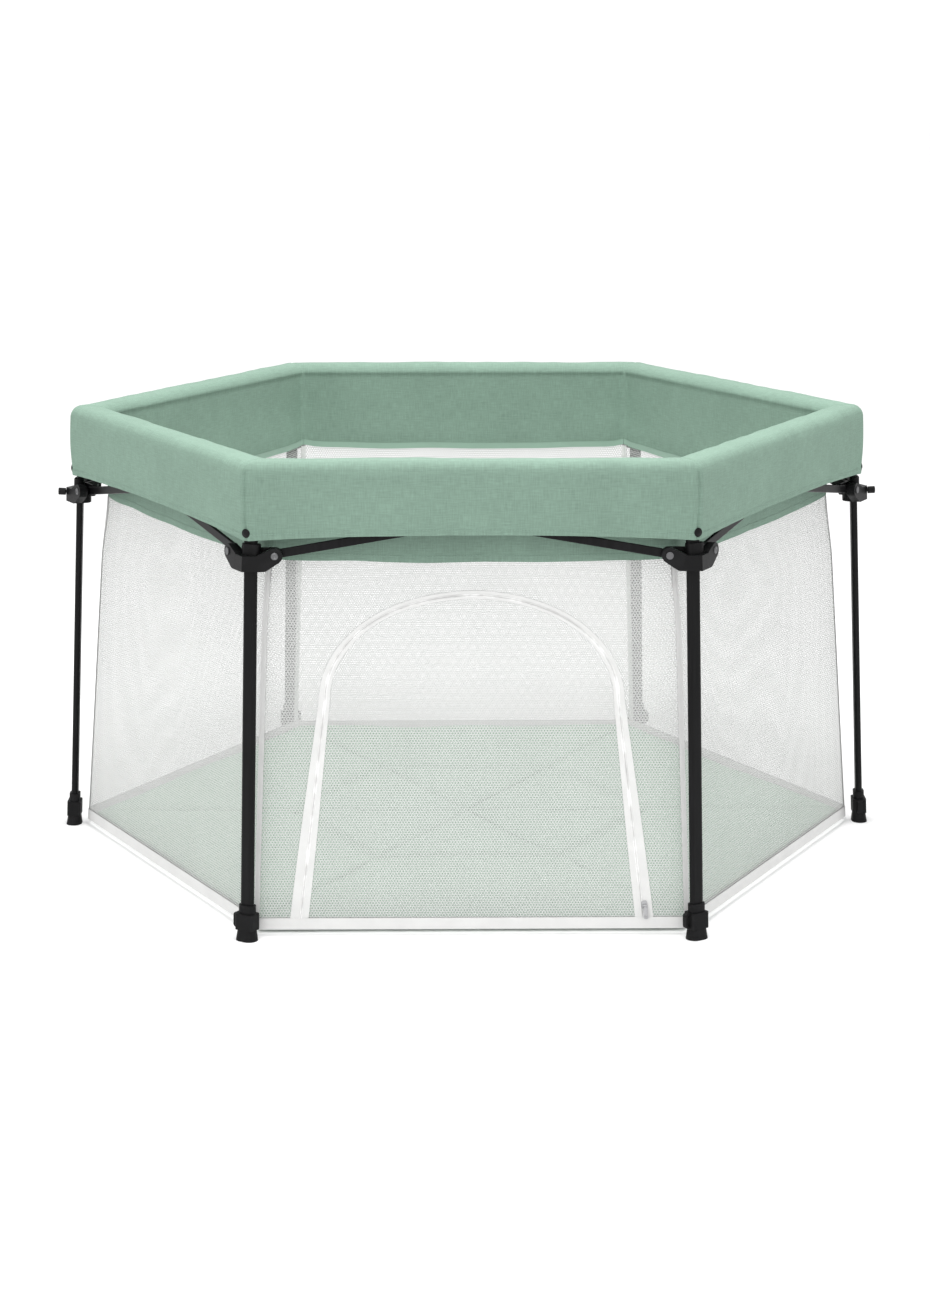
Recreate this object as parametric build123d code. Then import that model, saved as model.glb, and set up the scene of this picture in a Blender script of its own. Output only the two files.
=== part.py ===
from build123d import *
import math
import os

# Six-sided travel play yard: six splayed legs joined by scissor bars, with a padded rail cover,
# mesh walls, a zipped doorway and a six-panel mat. Millimetres, +Z up, origin on the floor under
# the middle. The doorway is at -Y. Leg 0 stands on +X and the rest follow anticlockwise;
# side k joins leg k to leg k + 1.

# Driving dimensions
FOOT_RADIUS = 620.0  # leg axes at the floor, from the middle
SPLAY = 3.0  # lean of each leg from the vertical, degrees
TOP_PIVOT_Z = 628.0
SLIDER_PIVOT_Z = 536.0
TOP_EAR = 16.0  # leg axis to the bar pivot in the top hub

LEG_WIDE, LEG_THICK, LEG_WALL = 20.0, 10.0, 1.5
BAR_TALL, BAR_THICK, BAR_EDGE = 12.0, 5.0, 1.4
BAR_GAP = 0.3  # each bar's face to the plane of the two leg axes
PLATE_INNER, PLATE_OUTER = 5.8, 8.8  # faces of the fork plates, from that plane
PIN_R, PIN_FIT, HEAD_R, HEAD_TALL = 2.5, 0.05, 5.0, 1.5

EAR_R = 10.5
BOAT_TALL, BOAT_FACE = 21.0, 18.6  # slider body below its pivots; its outer faces
NECK_TALL = 15.0
SLEEVE_WALL = 1.3
SLEEVE_SHIFT = (0.94, 1.63)  # bore centre from the leg axis: outward and tangential, for the fold
SLEEVE_WIDE, SLEEVE_THICK = 24.8, 13.0

KNOB_R, KNOB_END, KNOB_DROP, KNOB_SHAFT_R = 5.4, 33.0, 7.0, 2.5
KNOB_CHAMBER_R, KNOB_CHAMBER = 4.4, (11.0, 19.0)

FOOT_TALL = 50.0
FOOT_BASE_TALL, FOOT_BLOCK_TOP, LEG_SOCKET_FLOOR = 17.0, 38.0, 8.0
HUB_SOCKET = (50.0, 22.0)  # the top hub's socket, measured down from its pivots
HUB_CORE_R, ARM_R, SLIDER_ARM_R, SLIDER_CORE_R = 8.0, 8.0, 8.5, 17.0
SOCKET_STOP = 4.0  # the leg's end to the bottom of the top hub's socket
COVER_RADIUS, COVER_INNER_RADIUS, COVER_SKIN = 604.0, 549.0, 2.0
COVER_TOP, COVER_HEM, COVER_SKIRT, COVER_ROUNDING = 661.0, 556.0, 522.0, 14.0
WALL_TOP_APOTHEM, WALL_FOOT_APOTHEM, WALL_SKIN = 470.0, 518.0, 1.6
WALL_TOP, WALL_FOOT = 545.0, 10.0
MAT_APOTHEM, MAT_LOW, MAT_HIGH = 514.5, 9.0, 23.0
DOOR_HALF, DOOR_SHOULDER, DOOR_SHOULDER_UP, DOOR_RISE = 237.0, 200.0, 308.0, 145.0
DOOR_GAP = 0.5
SEAM_GAP = 0.4
WALL_SIDE_GAP = 1.2  # each wall's side edge to the mitre

# The zip slider on the right-hand edge of the doorway
ZIP_UP, ZIP_OUT = 18.0, 4.0  # its middle above the doorway's foot, and out from the doorway's edge
ZIP_BODY_TALL, ZIP_PIN_R, ZIP_EYE_R, ZIP_LUG_INNER, ZIP_LUG_OUTER = 2.4, 0.6, 1.5, 1.9, 2.7
ZIP_FLOOR = 0.3  # the slider's underside above the mesh
ZIP_PIN_UP = 4.6  # the pull's pin above the mesh
ZIP_TAB = (6.5, 16.0, 1.2)

LEGS = ["right", "back_right", "back_left", "left", "front_left", "front_right"]
SIDES = ["back_right", "back", "back_left", "front_left", "front", "front_right"]
LOCKED_LEGS = ["right", "left"]
SIDE_COUNT = len(LEGS)
STEP = 360 / SIDE_COUNT
APOTHEM_SHARE = math.cos(math.radians(STEP / 2))

# The scissor in the plane through two neighbouring leg axes
splay_slope = math.tan(math.radians(SPLAY))
plane_lean = math.atan(splay_slope * APOTHEM_SHARE)
leg_slope = splay_slope / 2 * math.cos(plane_lean)
top_y = TOP_PIVOT_Z / math.cos(plane_lean)
slider_y = SLIDER_PIVOT_Z / math.cos(plane_lean)
pivot_span = FOOT_RADIUS - TOP_PIVOT_Z * splay_slope - 2 * TOP_EAR
pivot_drop = top_y - slider_y
bar_angle = math.atan((1 + leg_slope) * pivot_drop / pivot_span)
bar_length = pivot_drop / math.sin(bar_angle)
upper_half = bar_length * (1 + leg_slope) / 2
slider_x = bar_length * math.cos(bar_angle) - pivot_span / 2
leg_x_at_slider = FOOT_RADIUS / 2 - slider_y * leg_slope
slider_ear = leg_x_at_slider - slider_x
FOLD_DEGREES = 90 - 2 * math.degrees(bar_angle)


def direction(degrees):
    return Vector(math.cos(math.radians(degrees)), math.sin(math.radians(degrees)), 0)


def side_plane(k):
    """X along side k to the right as seen from outside, Y up the leaning plane, Z outward."""
    outward = direction(STEP * k + STEP / 2)
    along = direction(STEP * k + STEP / 2 + 90)
    normal = outward * math.cos(plane_lean) + Vector(0, 0, math.sin(plane_lean))
    return Plane(origin=outward * FOOT_RADIUS * APOTHEM_SHARE, x_dir=along, z_dir=normal)


def leg_plane(j):
    """X outward, Y tangential and Z up leg j from the floor."""
    outward = direction(STEP * j)
    lean = math.radians(SPLAY)
    x_dir = outward * math.cos(lean) + Vector(0, 0, math.sin(lean))
    z_dir = Vector(0, 0, math.cos(lean)) - outward * math.sin(lean)
    return Plane(origin=outward * FOOT_RADIUS, x_dir=x_dir, z_dir=z_dir)


def between(plane, sketch, low, high):
    """The sketch drawn on the plane, thick from low to high along the plane's normal."""
    return extrude(plane.offset(low) * sketch, amount=high - low)


def up_leg(height):
    return height / math.cos(math.radians(SPLAY))


def oval(wide, thick, shift=(0, 0)):
    """A flat oval across a leg: wide along the tangent, thick along the radius."""
    return Pos(shift[0], shift[1]) * SlotOverall(wide, thick, rotation=90)


def arm(x, y, length, radius, end):
    """A plate from the leg axis to an ear round the point x, y; end is +1 or -1 along the side."""
    return Pos(x, y) * Circle(radius) + Pos(x - end * length / 2, y) * Rectangle(length, 2 * radius)


def leg_tube(j):
    section = oval(LEG_WIDE, LEG_THICK) - oval(LEG_WIDE - 2 * LEG_WALL, LEG_THICK - 2 * LEG_WALL)
    return between(leg_plane(j), section, LEG_SOCKET_FLOOR, up_leg(TOP_PIVOT_Z) - HUB_SOCKET[1] - SOCKET_STOP)


def top_hub(j):
    """A moulded cap on the leg with a fork and a peg for the bar of each side."""
    pivot = up_leg(TOP_PIVOT_Z)
    plane = leg_plane(j)
    low, high = pivot - HUB_SOCKET[0], pivot - HUB_SOCKET[1]
    hub = between(plane, oval(LEG_WIDE + 3, LEG_THICK + 3), low, high)
    hub -= between(plane, oval(LEG_WIDE, LEG_THICK), low, high - SOCKET_STOP)
    hub += between(plane, Circle(HUB_CORE_R), high - 1, pivot + ARM_R + 1)
    for k, end in ((j, -1), ((j - 1) % SIDE_COUNT, 1)):
        side = side_plane(k)
        x = end * pivot_span / 2
        plate = arm(x, top_y, TOP_EAR, ARM_R, -end)
        hub += between(side, plate, PLATE_INNER, PLATE_OUTER)
        hub += between(side, plate, -PLATE_OUTER, -PLATE_INNER)
        hub += between(side, Pos(x, top_y) * Circle(PIN_R), -PLATE_INNER, PLATE_INNER)
        low, high = (-PLATE_INNER, 0) if end < 0 else (0, PLATE_INNER)
        hub += between(side, Pos(x, top_y) * Circle(HEAD_R), low, high)
    return hub


def boat_profile(end):
    """The slider's rounded side, from the leg axis out to its ear at end (+1 or -1)."""
    x = end * slider_x
    axis_x = end * leg_x_at_slider
    ear = Pos(x, slider_y) * Circle(EAR_R)
    keel = Pos(x + end * 16, slider_y - 9) * Circle(BOAT_TALL - 9)
    past = BOAT_FACE * math.tan(math.radians(STEP / 2))
    block_width = abs(axis_x - x) - 16 + past
    block_x = axis_x + end * past - end * block_width / 2
    block = Pos(block_x, slider_y - BOAT_TALL / 2) * Rectangle(block_width, BOAT_TALL)
    return make_hull([e for shape in (ear, keel) for e in shape.edges()]) + block


def slider(j):
    """The hub that slides on the leg: sleeve, keel-shaped body and two forks for the bars."""
    pivot = up_leg(SLIDER_PIVOT_Z)
    plane = leg_plane(j)
    outer = oval(SLEEVE_WIDE + 2 * SLEEVE_WALL, SLEEVE_THICK + 2 * SLEEVE_WALL, SLEEVE_SHIFT)
    body = between(plane, outer, pivot - BOAT_TALL, pivot + NECK_TALL)
    body += between(plane, Circle(SLIDER_CORE_R), pivot - BOAT_TALL, pivot - 1)
    for k, end in ((j, -1), ((j - 1) % SIDE_COUNT, 1)):
        side = side_plane(k)
        x = end * slider_x
        body += between(side, boat_profile(end), PLATE_INNER, BOAT_FACE)
        body += between(side, arm(x, slider_y, slider_ear, SLIDER_ARM_R, -end), -PLATE_OUTER, -PLATE_INNER)
        if end > 0:
            hole = Pos(x, slider_y) * Circle(PIN_R + PIN_FIT)
            body -= between(side, hole, -PLATE_OUTER - 1, BOAT_FACE + 1)
    body -= between(plane, oval(SLEEVE_WIDE, SLEEVE_THICK, SLEEVE_SHIFT), pivot - 40, pivot + 40)
    if LEGS[j] in LOCKED_LEGS:
        body -= knob_cylinder(j, KNOB_SHAFT_R + 0.1, 0, KNOB_END)
        body -= knob_cylinder(j, KNOB_CHAMBER_R, *KNOB_CHAMBER)
    return body


def knob_cylinder(j, radius, low, high):
    """A round stretch of the lock's axis, which points outward just below the slider's pivots."""
    leg = leg_plane(j)
    centre = leg.origin + leg.z_dir * (up_leg(SLIDER_PIVOT_Z) - KNOB_DROP)
    axis = Plane(origin=centre, x_dir=leg.y_dir, z_dir=leg.x_dir)
    return between(axis, Circle(radius), low, high)


def lock_knob(j):
    knob = knob_cylinder(j, KNOB_SHAFT_R, 9, 23)
    knob += knob_cylinder(j, KNOB_CHAMBER_R - 0.3, KNOB_CHAMBER[0] + 0.3, KNOB_CHAMBER[0] + 1.3)
    head = knob_cylinder(j, KNOB_R, BOAT_FACE / APOTHEM_SHARE + 0.6, KNOB_END)
    return knob + fillet(head.edges(), 0.8)


def lock_spring(j):
    """Five turns of the return spring, each a plain ring round the knob's shaft."""
    leg = leg_plane(j)
    centre = leg.origin + leg.z_dir * (up_leg(SLIDER_PIVOT_Z) - KNOB_DROP)
    turns = []
    for turn in range(5):
        place = centre + leg.x_dir * (KNOB_CHAMBER[0] + 2.0 + 1.3 * turn)
        turns.append(Plane(origin=place, x_dir=leg.y_dir, z_dir=leg.x_dir) * Torus(3.4, 0.4))
    return Compound(children=turns)


def bar(k, lean):
    """A bar of side k. lean -1 is the outer bar, which falls to the right; +1 is the inner one."""
    centre_y = top_y - upper_half * math.sin(bar_angle)
    shift = upper_half - bar_length / 2
    low, high = (BAR_GAP, BAR_GAP + BAR_THICK) if lean < 0 else (-BAR_GAP - BAR_THICK, -BAR_GAP)
    blank = Pos(0, centre_y) * Rot(0, 0, lean * math.degrees(bar_angle))
    blank *= Pos(lean * shift, 0) * SlotCenterToCenter(bar_length, BAR_TALL)
    solid = between(side_plane(k), blank, low, high)
    solid = fillet(solid.edges(), BAR_EDGE)
    lower = Pos(-lean * slider_x, slider_y)
    upper = Pos(lean * pivot_span / 2, top_y)
    loose = Circle(PIN_R + PIN_FIT)
    tight = Circle(PIN_R)
    holes = upper * loose + Pos(0, centre_y) * (tight if lean < 0 else loose)
    if lean < 0:
        holes += lower * tight
    return solid - between(side_plane(k), holes, low - 1, high + 1)


def bar_rivets(k):
    """The crossing rivet and the rivet through the slider's fork, which turn with the outer bar."""
    side = side_plane(k)
    centre = Pos(0, top_y - upper_half * math.sin(bar_angle))
    reach = BAR_GAP + BAR_THICK
    crossing = between(side, centre * Circle(PIN_R), -reach - 1, reach + 1)
    crossing += between(side, centre * Circle(HEAD_R), reach, reach + HEAD_TALL)
    crossing += between(side, centre * Circle(HEAD_R), -reach - 0.1 - HEAD_TALL, -reach - 0.1)
    lower = Pos(slider_x, slider_y)
    pin = between(side, lower * Circle(PIN_R), -PLATE_OUTER, BOAT_FACE + 0.5)
    pin += between(side, lower * Circle(HEAD_R), BOAT_FACE + 0.1, BOAT_FACE + 0.1 + HEAD_TALL)
    return Compound(children=[crossing, pin])


def foot(j):
    """A flared foot with a buckle block and a loop for the mat's strap."""
    plane = leg_plane(j)
    base = loft([plane.offset(-4) * oval(33, 25), plane.offset(FOOT_BASE_TALL) * oval(27, 19)])
    block = between(plane, RectangleRounded(21, 28, 3), FOOT_BASE_TALL - 2, FOOT_BLOCK_TOP)
    socket = between(plane, oval(LEG_WIDE + 5, LEG_THICK + 6), FOOT_BLOCK_TOP - 1, FOOT_TALL)
    loop_plane = Plane(origin=plane.origin, x_dir=plane.y_dir, z_dir=plane.x_dir * -1)
    loop = Pos(-15.5, -27) * (SlotOverall(22, 9.5, rotation=90) - SlotOverall(16, 3.5, rotation=90))
    body = base + block + socket + between(loop_plane, loop, -4, 4)
    body -= between(plane, oval(LEG_WIDE, LEG_THICK), LEG_SOCKET_FLOOR, FOOT_TALL + 1)
    floor = Pos(plane.origin.X, plane.origin.Y, -20) * Box(120, 120, 40)
    return body - floor


def ring_sector(k, outline):
    """Side k of a ring about the middle: the outline is (apothem, height) points, mitred at the legs."""
    outward = direction(STEP * k + STEP / 2)
    along = direction(STEP * k + STEP / 2 + 90)
    section = Plane(origin=(0, 0, 0), x_dir=outward, z_dir=along * -1)
    reach = COVER_RADIUS
    solid = extrude(section * outline, amount=reach, both=True)
    for end in (-1, 1):
        normal = direction(STEP * k + STEP / 2 + end * (STEP / 2 + 90))
        start = normal * -SEAM_GAP / 2
        solid = split(solid, Plane(origin=start, z_dir=normal * -1), keep=Keep.TOP)
    return solid


def rail_cover():
    """Six sewn panels over the bars: an outer face, a rounded top and a longer inner skirt."""
    outer = COVER_RADIUS * APOTHEM_SHARE
    inner = COVER_INNER_RADIUS * APOTHEM_SHARE
    wide = outer - inner
    middle = (outer + inner) / 2
    skin = COVER_SKIN
    tall = COVER_TOP - COVER_SKIRT
    shell = Pos(middle, COVER_SKIRT) * Rectangle(wide, 2 * tall)
    shell = fillet(shell.vertices(), COVER_ROUNDING)
    hollow = Pos(middle, COVER_SKIRT) * Rectangle(wide - 2 * skin, 2 * (tall - skin))
    hollow = fillet(hollow.vertices(), COVER_ROUNDING - skin)
    below = Pos(middle, COVER_SKIRT - tall) * Rectangle(2 * wide, 2 * tall)
    hem = Pos(outer, COVER_SKIRT) * Rectangle(wide, 2 * (COVER_HEM - COVER_SKIRT))
    section = shell - hollow - below - hem
    return Compound(children=[ring_sector(k, section) for k in range(SIDE_COUNT)])


def wall_plane(k):
    """The leaning mid-face of side k's mesh, with its origin at the middle of its lower edge."""
    outward = direction(STEP * k + STEP / 2)
    lean = (WALL_FOOT_APOTHEM - WALL_TOP_APOTHEM) / (WALL_TOP - WALL_FOOT)
    normal = (outward + Vector(0, 0, lean)).normalized()
    origin = outward * WALL_FOOT_APOTHEM + Vector(0, 0, WALL_FOOT)
    return Plane(origin=origin, x_dir=direction(STEP * k + STEP / 2 + 90), z_dir=normal)


def wall_panel():
    """The flat outline of one mesh wall, narrower at the top."""
    tall = math.hypot(WALL_TOP - WALL_FOOT, WALL_FOOT_APOTHEM - WALL_TOP_APOTHEM)
    half_foot = WALL_FOOT_APOTHEM * math.tan(math.radians(STEP / 2)) - WALL_SIDE_GAP
    half_top = WALL_TOP_APOTHEM * math.tan(math.radians(STEP / 2)) - WALL_SIDE_GAP
    return Polygon((-half_foot, 0), (half_foot, 0), (half_top, tall), (-half_top, tall), align=None)


def door_outline(grow):
    """The arched doorway: straight leaning sides under half an ellipse, wider by grow all round."""
    low = MAT_HIGH - WALL_FOOT
    foot_half, shoulder = DOOR_HALF + grow, DOOR_SHOULDER + grow
    spring = low + DOOR_SHOULDER_UP
    sides = Polygon(
        (-foot_half, low - grow), (foot_half, low - grow), (shoulder, spring), (-shoulder, spring),
        align=None,
    )
    top = Pos(0, spring) * Ellipse(shoulder, DOOR_RISE + grow)
    return sides + top - Pos(0, low - grow - 400) * Rectangle(2000, 800)


def wall_solid(k, outline):
    return between(wall_plane(k), outline, -WALL_SKIN / 2, WALL_SKIN / 2)


def mat_panel(k):
    """One padded triangle of the floor mat, with its long edge at side k."""
    along = direction(STEP * k + STEP / 2 + 90)
    half = (MAT_APOTHEM - 2 * SEAM_GAP) * math.tan(math.radians(STEP / 2)) - SEAM_GAP
    plan = Plane(origin=(0, 0, 0), x_dir=along, z_dir=(0, 0, 1))
    triangle = Polygon((-half, -MAT_APOTHEM), (half, -MAT_APOTHEM), (0, -2 * SEAM_GAP), align=None)
    return between(plan, triangle, MAT_LOW, MAT_HIGH)


def zip_edge(up, out):
    """A plane on the right-hand zip line, up millimetres along it and out from the mesh."""
    front = wall_plane(SIDES.index("front"))
    x = DOOR_HALF + ZIP_OUT - (DOOR_HALF - DOOR_SHOULDER) * up / DOOR_SHOULDER_UP
    y = MAT_HIGH - WALL_FOOT + up
    tilt = math.degrees(math.atan((DOOR_HALF - DOOR_SHOULDER) / DOOR_SHOULDER_UP))
    return front * Plane.XY.offset(WALL_SKIN / 2 + out) * Pos(x, y) * Rot(0, 0, tilt)


def zip_cross(shape, half_width):
    """A shape drawn along the zip and out from it, with its origin at the pull's pin, as wide as given."""
    pin = Plane(zip_edge(ZIP_UP, ZIP_PIN_UP))
    section = Plane(origin=pin.origin, x_dir=pin.y_dir, z_dir=pin.x_dir)
    return extrude(section * shape, amount=half_width, both=True)


def zip_slider():
    """The metal body that rides on the zip teeth, with two lugs and the pin that holds the pull."""
    body = extrude(zip_edge(ZIP_UP, ZIP_FLOOR) * RectangleRounded(8, 12, 2.5), amount=ZIP_BODY_TALL)
    lug_tall = ZIP_PIN_UP - ZIP_FLOOR
    lug = Pos(0, -lug_tall / 2) * Rectangle(2.0, lug_tall) + Circle(1.0)
    lugs = zip_cross(lug, ZIP_LUG_OUTER) - zip_cross(lug, ZIP_LUG_INNER)
    return body + lugs + zip_cross(Circle(ZIP_PIN_R), ZIP_LUG_OUTER)


def zip_pull():
    """The flat tab that hangs from the slider's pin by a round eye."""
    wide, long, thick = ZIP_TAB
    eye = zip_cross(Circle(ZIP_EYE_R), ZIP_LUG_INNER - 0.3)
    neck = Pos(0, -2) * Rectangle(2 * ZIP_LUG_INNER - 0.6, 4)
    tab = neck + Pos(0, -3 - long / 2) * RectangleRounded(wide, long, 2)
    tab -= Pos(0, 1 - long) * Circle(1.2)
    flat = extrude(zip_edge(ZIP_UP, ZIP_PIN_UP - thick / 2) * tab, amount=thick)
    return eye + flat - zip_cross(Circle(ZIP_PIN_R + 2 * PIN_FIT), wide)


os.makedirs("parts", exist_ok=True)
front = SIDES.index("front")
nodes = {}
for j, leg in enumerate(LEGS):
    nodes[f"leg_tube_{leg}"] = leg_tube(j)
    nodes[f"top_hub_{leg}"] = top_hub(j)
    nodes[f"slider_{leg}"] = slider(j)
    nodes[f"foot_{leg}"] = foot(j)
for leg in LOCKED_LEGS:
    nodes[f"lock_knob_{leg}"] = lock_knob(LEGS.index(leg))
    nodes[f"lock_spring_{leg}"] = lock_spring(LEGS.index(leg))
for k, side in enumerate(SIDES):
    nodes[f"outer_bar_{side}"] = bar(k, -1)
    nodes[f"inner_bar_{side}"] = bar(k, 1)
    nodes[f"bar_rivets_{side}"] = bar_rivets(k)
    nodes[f"mat_panel_{side}"] = mat_panel(k)
nodes["rail_cover"] = rail_cover()
plain_sides = [k for k in range(SIDE_COUNT) if k != front]
nodes["mesh_walls"] = Compound(children=[wall_solid(k, wall_panel()) for k in plain_sides])
nodes["door_wall"] = wall_solid(front, wall_panel() - door_outline(0))
nodes["door_panel"] = wall_solid(front, door_outline(-DOOR_GAP))
nodes["zip_slider"] = zip_slider()
nodes["zip_pull"] = zip_pull()
for name, shape in nodes.items():
    export_step(shape, f"parts/{name}.step")
print("fold degrees", round(FOLD_DEGREES, 3), "bar", round(bar_length, 2), round(upper_half, 2))
print("slider ear", round(slider_ear, 2), "slider x", round(slider_x, 2), "top span", pivot_span)
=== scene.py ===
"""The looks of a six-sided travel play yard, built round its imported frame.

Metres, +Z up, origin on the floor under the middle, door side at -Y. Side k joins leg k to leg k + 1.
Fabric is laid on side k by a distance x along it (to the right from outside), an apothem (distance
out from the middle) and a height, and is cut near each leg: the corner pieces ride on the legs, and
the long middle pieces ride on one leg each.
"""

import math
import bmesh
import bpy
import numpy as np
from mathutils import Matrix, Vector, noise


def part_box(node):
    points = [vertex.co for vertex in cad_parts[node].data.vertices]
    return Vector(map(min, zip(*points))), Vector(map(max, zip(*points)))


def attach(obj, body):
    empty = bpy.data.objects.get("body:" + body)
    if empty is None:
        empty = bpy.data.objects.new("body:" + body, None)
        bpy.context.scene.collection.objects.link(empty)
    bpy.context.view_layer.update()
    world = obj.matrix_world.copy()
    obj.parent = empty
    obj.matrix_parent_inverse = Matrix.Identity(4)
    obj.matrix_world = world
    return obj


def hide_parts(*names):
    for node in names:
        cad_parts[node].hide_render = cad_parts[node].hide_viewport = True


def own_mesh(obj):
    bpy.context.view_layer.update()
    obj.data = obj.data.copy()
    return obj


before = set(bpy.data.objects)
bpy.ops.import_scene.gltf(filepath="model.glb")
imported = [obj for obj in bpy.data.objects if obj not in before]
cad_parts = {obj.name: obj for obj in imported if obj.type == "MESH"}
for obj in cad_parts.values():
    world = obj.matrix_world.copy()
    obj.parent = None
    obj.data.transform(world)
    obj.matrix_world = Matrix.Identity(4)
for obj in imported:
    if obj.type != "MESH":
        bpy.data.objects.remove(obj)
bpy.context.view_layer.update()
collection = bpy.context.scene.collection

LEGS = ["right", "back_right", "back_left", "left", "front_left", "front_right"]
SIDES = ["back_right", "back", "back_left", "front_left", "front", "front_right"]
SIDE_COUNT = len(SIDES)
FRONT = SIDES.index("front")
STEP = math.tau / SIDE_COUNT
MITRE = math.tan(STEP / 2)  # half a side's length over its apothem

cover_low, cover_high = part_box("rail_cover")
mat_low, mat_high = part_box("mat_panel_front")

# The rail cover's section
COVER_OUT = -cover_low.y  # apothem of the outer face
COVER_DEEP = 0.0476
COVER_TOP = cover_high.z
COVER_ROUND = 0.014
COVER_THICK = 0.002
HEM_CORNER, HEM_MIDDLE = 0.556, 0.5635  # height of the outer hem at the legs and between them
SKIRT_CORNER, SKIRT_MIDDLE = 0.526, 0.5180
HEM_BAND = 0.010
COVER_CORNER_INSET, WALL_CORNER_INSET = 0.0026, 0.0018

# The mesh walls lean outward to the mat, and are sewn into the skirt of the cover
WALL_TOP, WALL_FOOT = 0.528, 0.010
WALL_TOP_OUT, WALL_FOOT_OUT = 0.481, 0.518
WALL_TUCK = 0.006
WALL_TALL = math.hypot(WALL_TOP - WALL_FOOT, WALL_FOOT_OUT - WALL_TOP_OUT)
BINDING_TALL, BINDING_THICK = 0.016, 0.0036
TAPE_HALF = 0.0050
TAPED_SLACK = 0.2  # the doorway's tape holds the front net flatter than the others

# The doorway, measured up the front wall from its foot
DOOR_LOW = 0.013
DOOR_HALF, DOOR_SHOULDER = 0.237, 0.200
DOOR_SHOULDER_UP, DOOR_RISE = 0.308, 0.145
DOOR_ARCH = math.pi * math.sqrt((DOOR_SHOULDER ** 2 + DOOR_RISE ** 2) / 2)  # length over the arch
TAPE_OUT_LOW, TAPE_OUT_HIGH = 0.0145, 0.0065  # the wall's share of the zip tape, at its foot and top
TAPE_IN_LOW, TAPE_IN_HIGH = 0.0110, 0.0050
COIL_HALF = 0.0012
COIL_RIBS = 420
COIL_FOOT, COIL_RISE = 0.0008, 0.0010  # its foot above the net, and its crown above its foot
TAPE_PROUD, TAPE_THICK = 0.0012, 0.0016

MAT_OUT = -mat_low.y
MAT_LOW, MAT_HIGH = mat_low.z, mat_high.z
MAT_SEAM_OUT = 0.240  # apothem of the sewn line round the middle of the mat

CUT = 0.256  # middle pieces reach this far each way along a side
SECTOR_GAP = 0.0003


# ---------------------------------------------------------------- places

def outward(k):
    turn = STEP * k + STEP / 2
    return Vector((math.cos(turn), math.sin(turn), 0))


def along(k):
    turn = STEP * k + STEP / 2
    return Vector((-math.sin(turn), math.cos(turn), 0))


def on_side(k, x, apothem, height):
    return outward(k) * apothem + along(k) * x + Vector((0, 0, height))


def corner(j, radius, height):
    return Vector((math.cos(STEP * j) * radius, math.sin(STEP * j) * radius, height))


def smooth(t):
    t = min(max(t, 0.0), 1.0)
    return t * t * (3 - 2 * t)


def corner_inset(distance, depth):
    """How far a rounded corner of the ring lies inside its mitre, at a distance from the mitre."""
    reach = 2 * depth / MITRE
    return depth * max(0.0, 1 - distance / reach) ** 2


def ripple(place, across, up, seed):
    """Smooth noise, with its own scale round the yard and up it."""
    return noise.noise(Vector((place.x * across + seed, place.y * across, place.z * up)))


# ---------------------------------------------------------------- meshes

def finish_mesh(name, points, faces, uvs, normals, material):
    """An object from points, faces, one UV in metres for each face corner and a normal for each point."""
    mesh = bpy.data.meshes.new(name)
    mesh.from_pydata([tuple(p) for p in points], [], faces)
    layer = mesh.uv_layers.new(name="metres")
    layer.data.foreach_set("uv", np.array(uvs, np.float32).ravel())
    mesh.shade_smooth()
    mesh.materials.append(material)
    if normals is not None:
        mesh.normals_split_custom_set_from_vertices([tuple(n) for n in normals])
    made = bpy.data.objects.new(name, mesh)
    collection.objects.link(made)
    return made


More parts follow.
